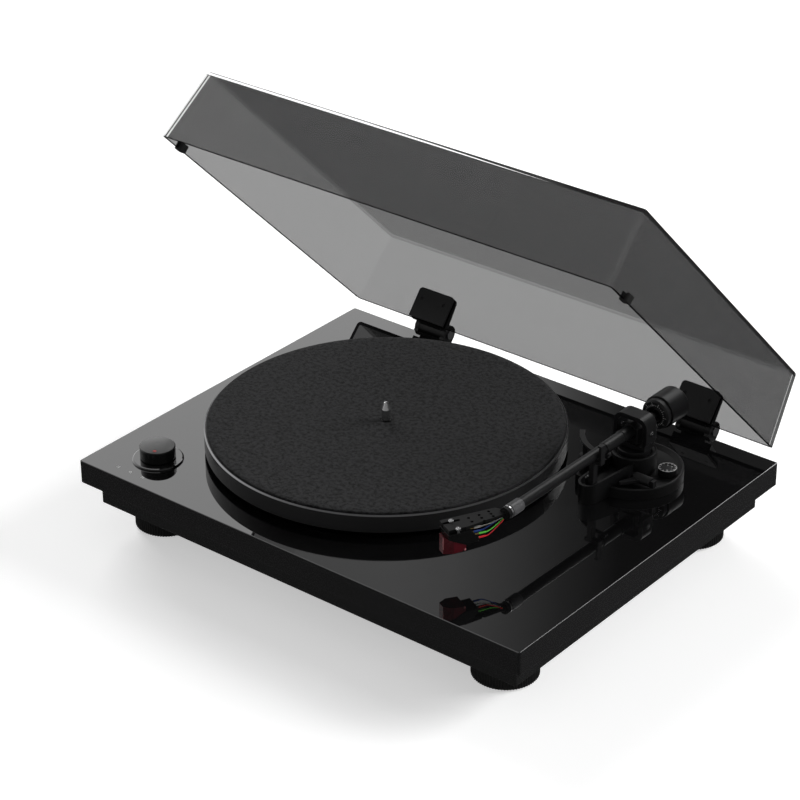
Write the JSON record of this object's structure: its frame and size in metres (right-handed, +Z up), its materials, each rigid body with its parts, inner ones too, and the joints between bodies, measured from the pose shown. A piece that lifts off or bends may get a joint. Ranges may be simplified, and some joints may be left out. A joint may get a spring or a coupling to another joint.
{
  "type": "turntable record player",
  "caption": "Belt-drive turntable in a black lacquered plinth with a hinged clear dust cover, platter with mat, tonearm with cartridge, speed knob and round feet.",
  "frame": {"origin": "bottom centre of the whole player, on the surface it stands on, with the dust cover open", "axes": "+X to the tonearm side, -Y to the front, +Z up"},
  "size_m": [0.45, 0.3915, 0.3567],
  "materials": {
    "plinth_lacquer": "gloss",
    "cover_acrylic": "polished",
    "black_satin": "satin",
    "platter_alloy": "satin black",
    "bright_steel": "polished",
    "chrome": "polished",
    "black_plastic": "matte",
    "gloss_black": "gloss",
    "black_rubber": "matte",
    "mat_felt": "matte",
    "red_plastic": "gloss",
    "dot_red": "gloss",
    "zinc_steel": "satin",
    "brass": "satin",
    "gold_contact": "polished",
    "board_green": "satin",
    "wire_cover": "satin",
    "socket_white": "matte"
  },
  "bodies": {
    "base": {"plinth_slab": "plinth_lacquer", "base_frame": "plinth_lacquer", "bottom_cover": "black_plastic", "feet": "black_rubber", "foot_screws": "zinc_steel", "rear_panel": "black_satin", "rca_sockets": "gold_contact", "rca_inserts": "socket_white", "ground_terminal": "brass", "dc_inlet": "black_plastic", "rear_screws": "zinc_steel", "circuit_board": "board_green", "bearing_housing": "brass", "chassis_screws": "zinc_steel", "motor": "zinc_steel", "motor_isolators": "black_rubber", "drive_belt": "black_rubber", "knob_ring": "black_satin", "speed_switch": "black_plastic", "hinge_brackets": "black_satin", "hinge_pins": "bright_steel", "tonearm_base": "black_satin", "base_nut": "brass", "arm_pillar": "black_satin", "arm_rest": "black_plastic", "rest_pin": "chrome"},
    "platter_body": {"spindle": "bright_steel", "sub_platter": "black_plastic", "platter": "platter_alloy", "platter_mat": "mat_felt"},
    "pulley": {"motor_pulley": "brass"},
    "knob": {"speed_knob": "black_plastic", "knob_dot": "dot_red"},
    "cover": {"dust_cover": "cover_acrylic", "cover_bumpers": "black_rubber", "hinge_leaves": "black_plastic", "hinge_clamps": "black_plastic", "leaf_bolts": "zinc_steel"},
    "arm_yoke": {"yoke": "black_satin", "pivot_shaft": "bright_steel", "pivot_screws": "bright_steel"},
    "arm": {"gimbal_block": "black_satin", "arm_sleeve": "black_satin", "arm_tube": "black_satin", "collar_ring": "chrome", "headshell": "black_satin", "cartridge_body": "gloss_black", "stylus_unit": "red_plastic", "cartridge_screws": "chrome", "cartridge_pins": "gold_contact", "lead_wires": "wire_cover", "rear_shaft": "bright_steel"},
    "collar": {"lock_collar": "black_satin"},
    "weight": {"counterweight": "black_satin"},
    "force_dial": {"force_ring": "black_plastic"},
    "lever": {"cue_lever": "black_plastic"},
    "lift": {"lift_bar": "bright_steel"},
    "skate": {"antiskate_dial": "black_plastic"},
    "nut": {"ground_nut": "chrome"},
    "slider": {"switch_slider": "black_plastic"}
  },
  "joints": [
    {"name": "platter_spin", "type": "hinge", "parent": "base", "child": "platter_body", "pos_m": [-0.0455, -0.01775, 0.0848], "axis": [0, 0, 1], "continuous": true},
    {"name": "pulley_spin", "type": "hinge", "parent": "base", "child": "pulley", "pos_m": [-0.12187, -0.09412, 0.0729], "axis": [0, 0, 1], "continuous": true},
    {"name": "knob_turn", "type": "hinge", "parent": "base", "child": "knob", "pos_m": [-0.176, -0.15375, 0.0699], "axis": [0, 0, 1], "range_deg": [-50, 0]},
    {"name": "lid_hinge", "type": "hinge", "parent": "base", "child": "cover", "pos_m": [0, 0.16615, 0.0649], "axis": [-1, 0, 0], "range_deg": [-45, 15]},
    {"name": "arm_yaw", "type": "hinge", "parent": "base", "child": "arm_yoke", "pos_m": [0.143, 0.06725, 0.0939], "axis": [0, 0, -1], "range_deg": [0, 45]},
    {"name": "arm_tilt", "type": "hinge", "parent": "arm_yoke", "child": "arm", "pos_m": [0.143, 0.06725, 0.1069], "axis": [-0.9999, 0.0105, 0], "range_deg": [0, 3.5]},
    {"name": "lever_turn", "type": "hinge", "parent": "base", "child": "lever", "pos_m": [0.166, 0.04725, 0.0765], "axis": [-1, 0, 0], "range_deg": [0, 60.01]},
    {"name": "lift_slide", "type": "slide", "parent": "base", "child": "lift", "axis": [0, 0, 1], "range_m": [0, 0.00241]},
    {"name": "collar_turn", "type": "hinge", "parent": "arm", "child": "collar", "pos_m": [0.14133, -0.09174, 0.1069], "axis": [0.0105, 0.9999, 0], "range_deg": [0, 30]},
    {"name": "weight_slide", "type": "slide", "parent": "arm", "child": "weight", "axis": [0.0105, 0.9999, 0], "range_m": [-0.008, 0.003]},
    {"name": "dial_turn", "type": "hinge", "parent": "weight", "child": "force_dial", "pos_m": [0.14331, 0.09725, 0.1069], "axis": [0.0105, 0.9999, 0], "continuous": true},
    {"name": "skate_turn", "type": "hinge", "parent": "base", "child": "skate", "pos_m": [0.17062, 0.07506, 0.0739], "axis": [0, 0, 1], "range_deg": [0, 270]},
    {"name": "nut_turn", "type": "hinge", "parent": "base", "child": "nut", "pos_m": [-0.02, 0.14805, 0.0329], "axis": [0, 1, 0], "continuous": true},
    {"name": "slider_move", "type": "slide", "parent": "base", "child": "slider", "axis": [1, 0, 0], "range_m": [0, 0.004]}
  ],
  "couplings": [
    {"joint": "pulley_spin", "follows": "platter_spin", "ratio": 14.167},
    {"joint": "lever_turn", "follows": "arm_tilt", "ratio": 17.143},
    {"joint": "lift_slide", "follows": "arm_tilt", "m_per_rad": 0.039289}
  ]
}
